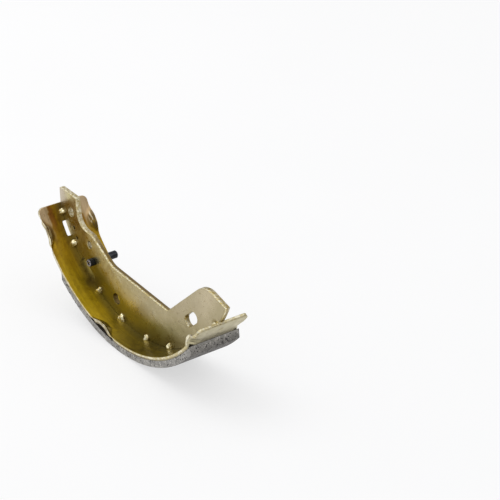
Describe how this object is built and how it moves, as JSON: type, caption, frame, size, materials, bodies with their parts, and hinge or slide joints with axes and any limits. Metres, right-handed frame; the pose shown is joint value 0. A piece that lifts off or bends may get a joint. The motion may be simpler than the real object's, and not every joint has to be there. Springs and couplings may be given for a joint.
{
  "type": "drum brake shoe",
  "caption": "Curved drum brake shoe: a sheet-steel rim with raised edge bumps, an upright crescent web with holes and a tab, a bonded friction lining and a stop peg through the web.",
  "frame": {"origin": "crown of the friction face, on the floor straight below the drum axis, in the mid-plane of the web", "axes": "+X along the arc of the shoe towards the tab end, +Y across the shoe towards the long end of the peg, +Z from the friction face towards the drum axis, which runs along Y at Z 114 mm"},
  "size_m": [0.1961, 0.039, 0.0809],
  "materials": {
    "rim_steel": "yellow-passivated zinc plate on sheet steel, olive gold, darker and browner in places",
    "web_steel": "yellow-passivated zinc plate on plate steel, olive gold fading to a pale cream at the tab",
    "lining": "speckled mid-grey moulded friction compound",
    "peg_steel": "blackened steel, slightly blue"
  },
  "bodies": {
    "root": {"rim": "rim_steel", "web": "web_steel", "friction_lining": "lining", "peg": "peg_steel"}
  },
  "joints": []
}
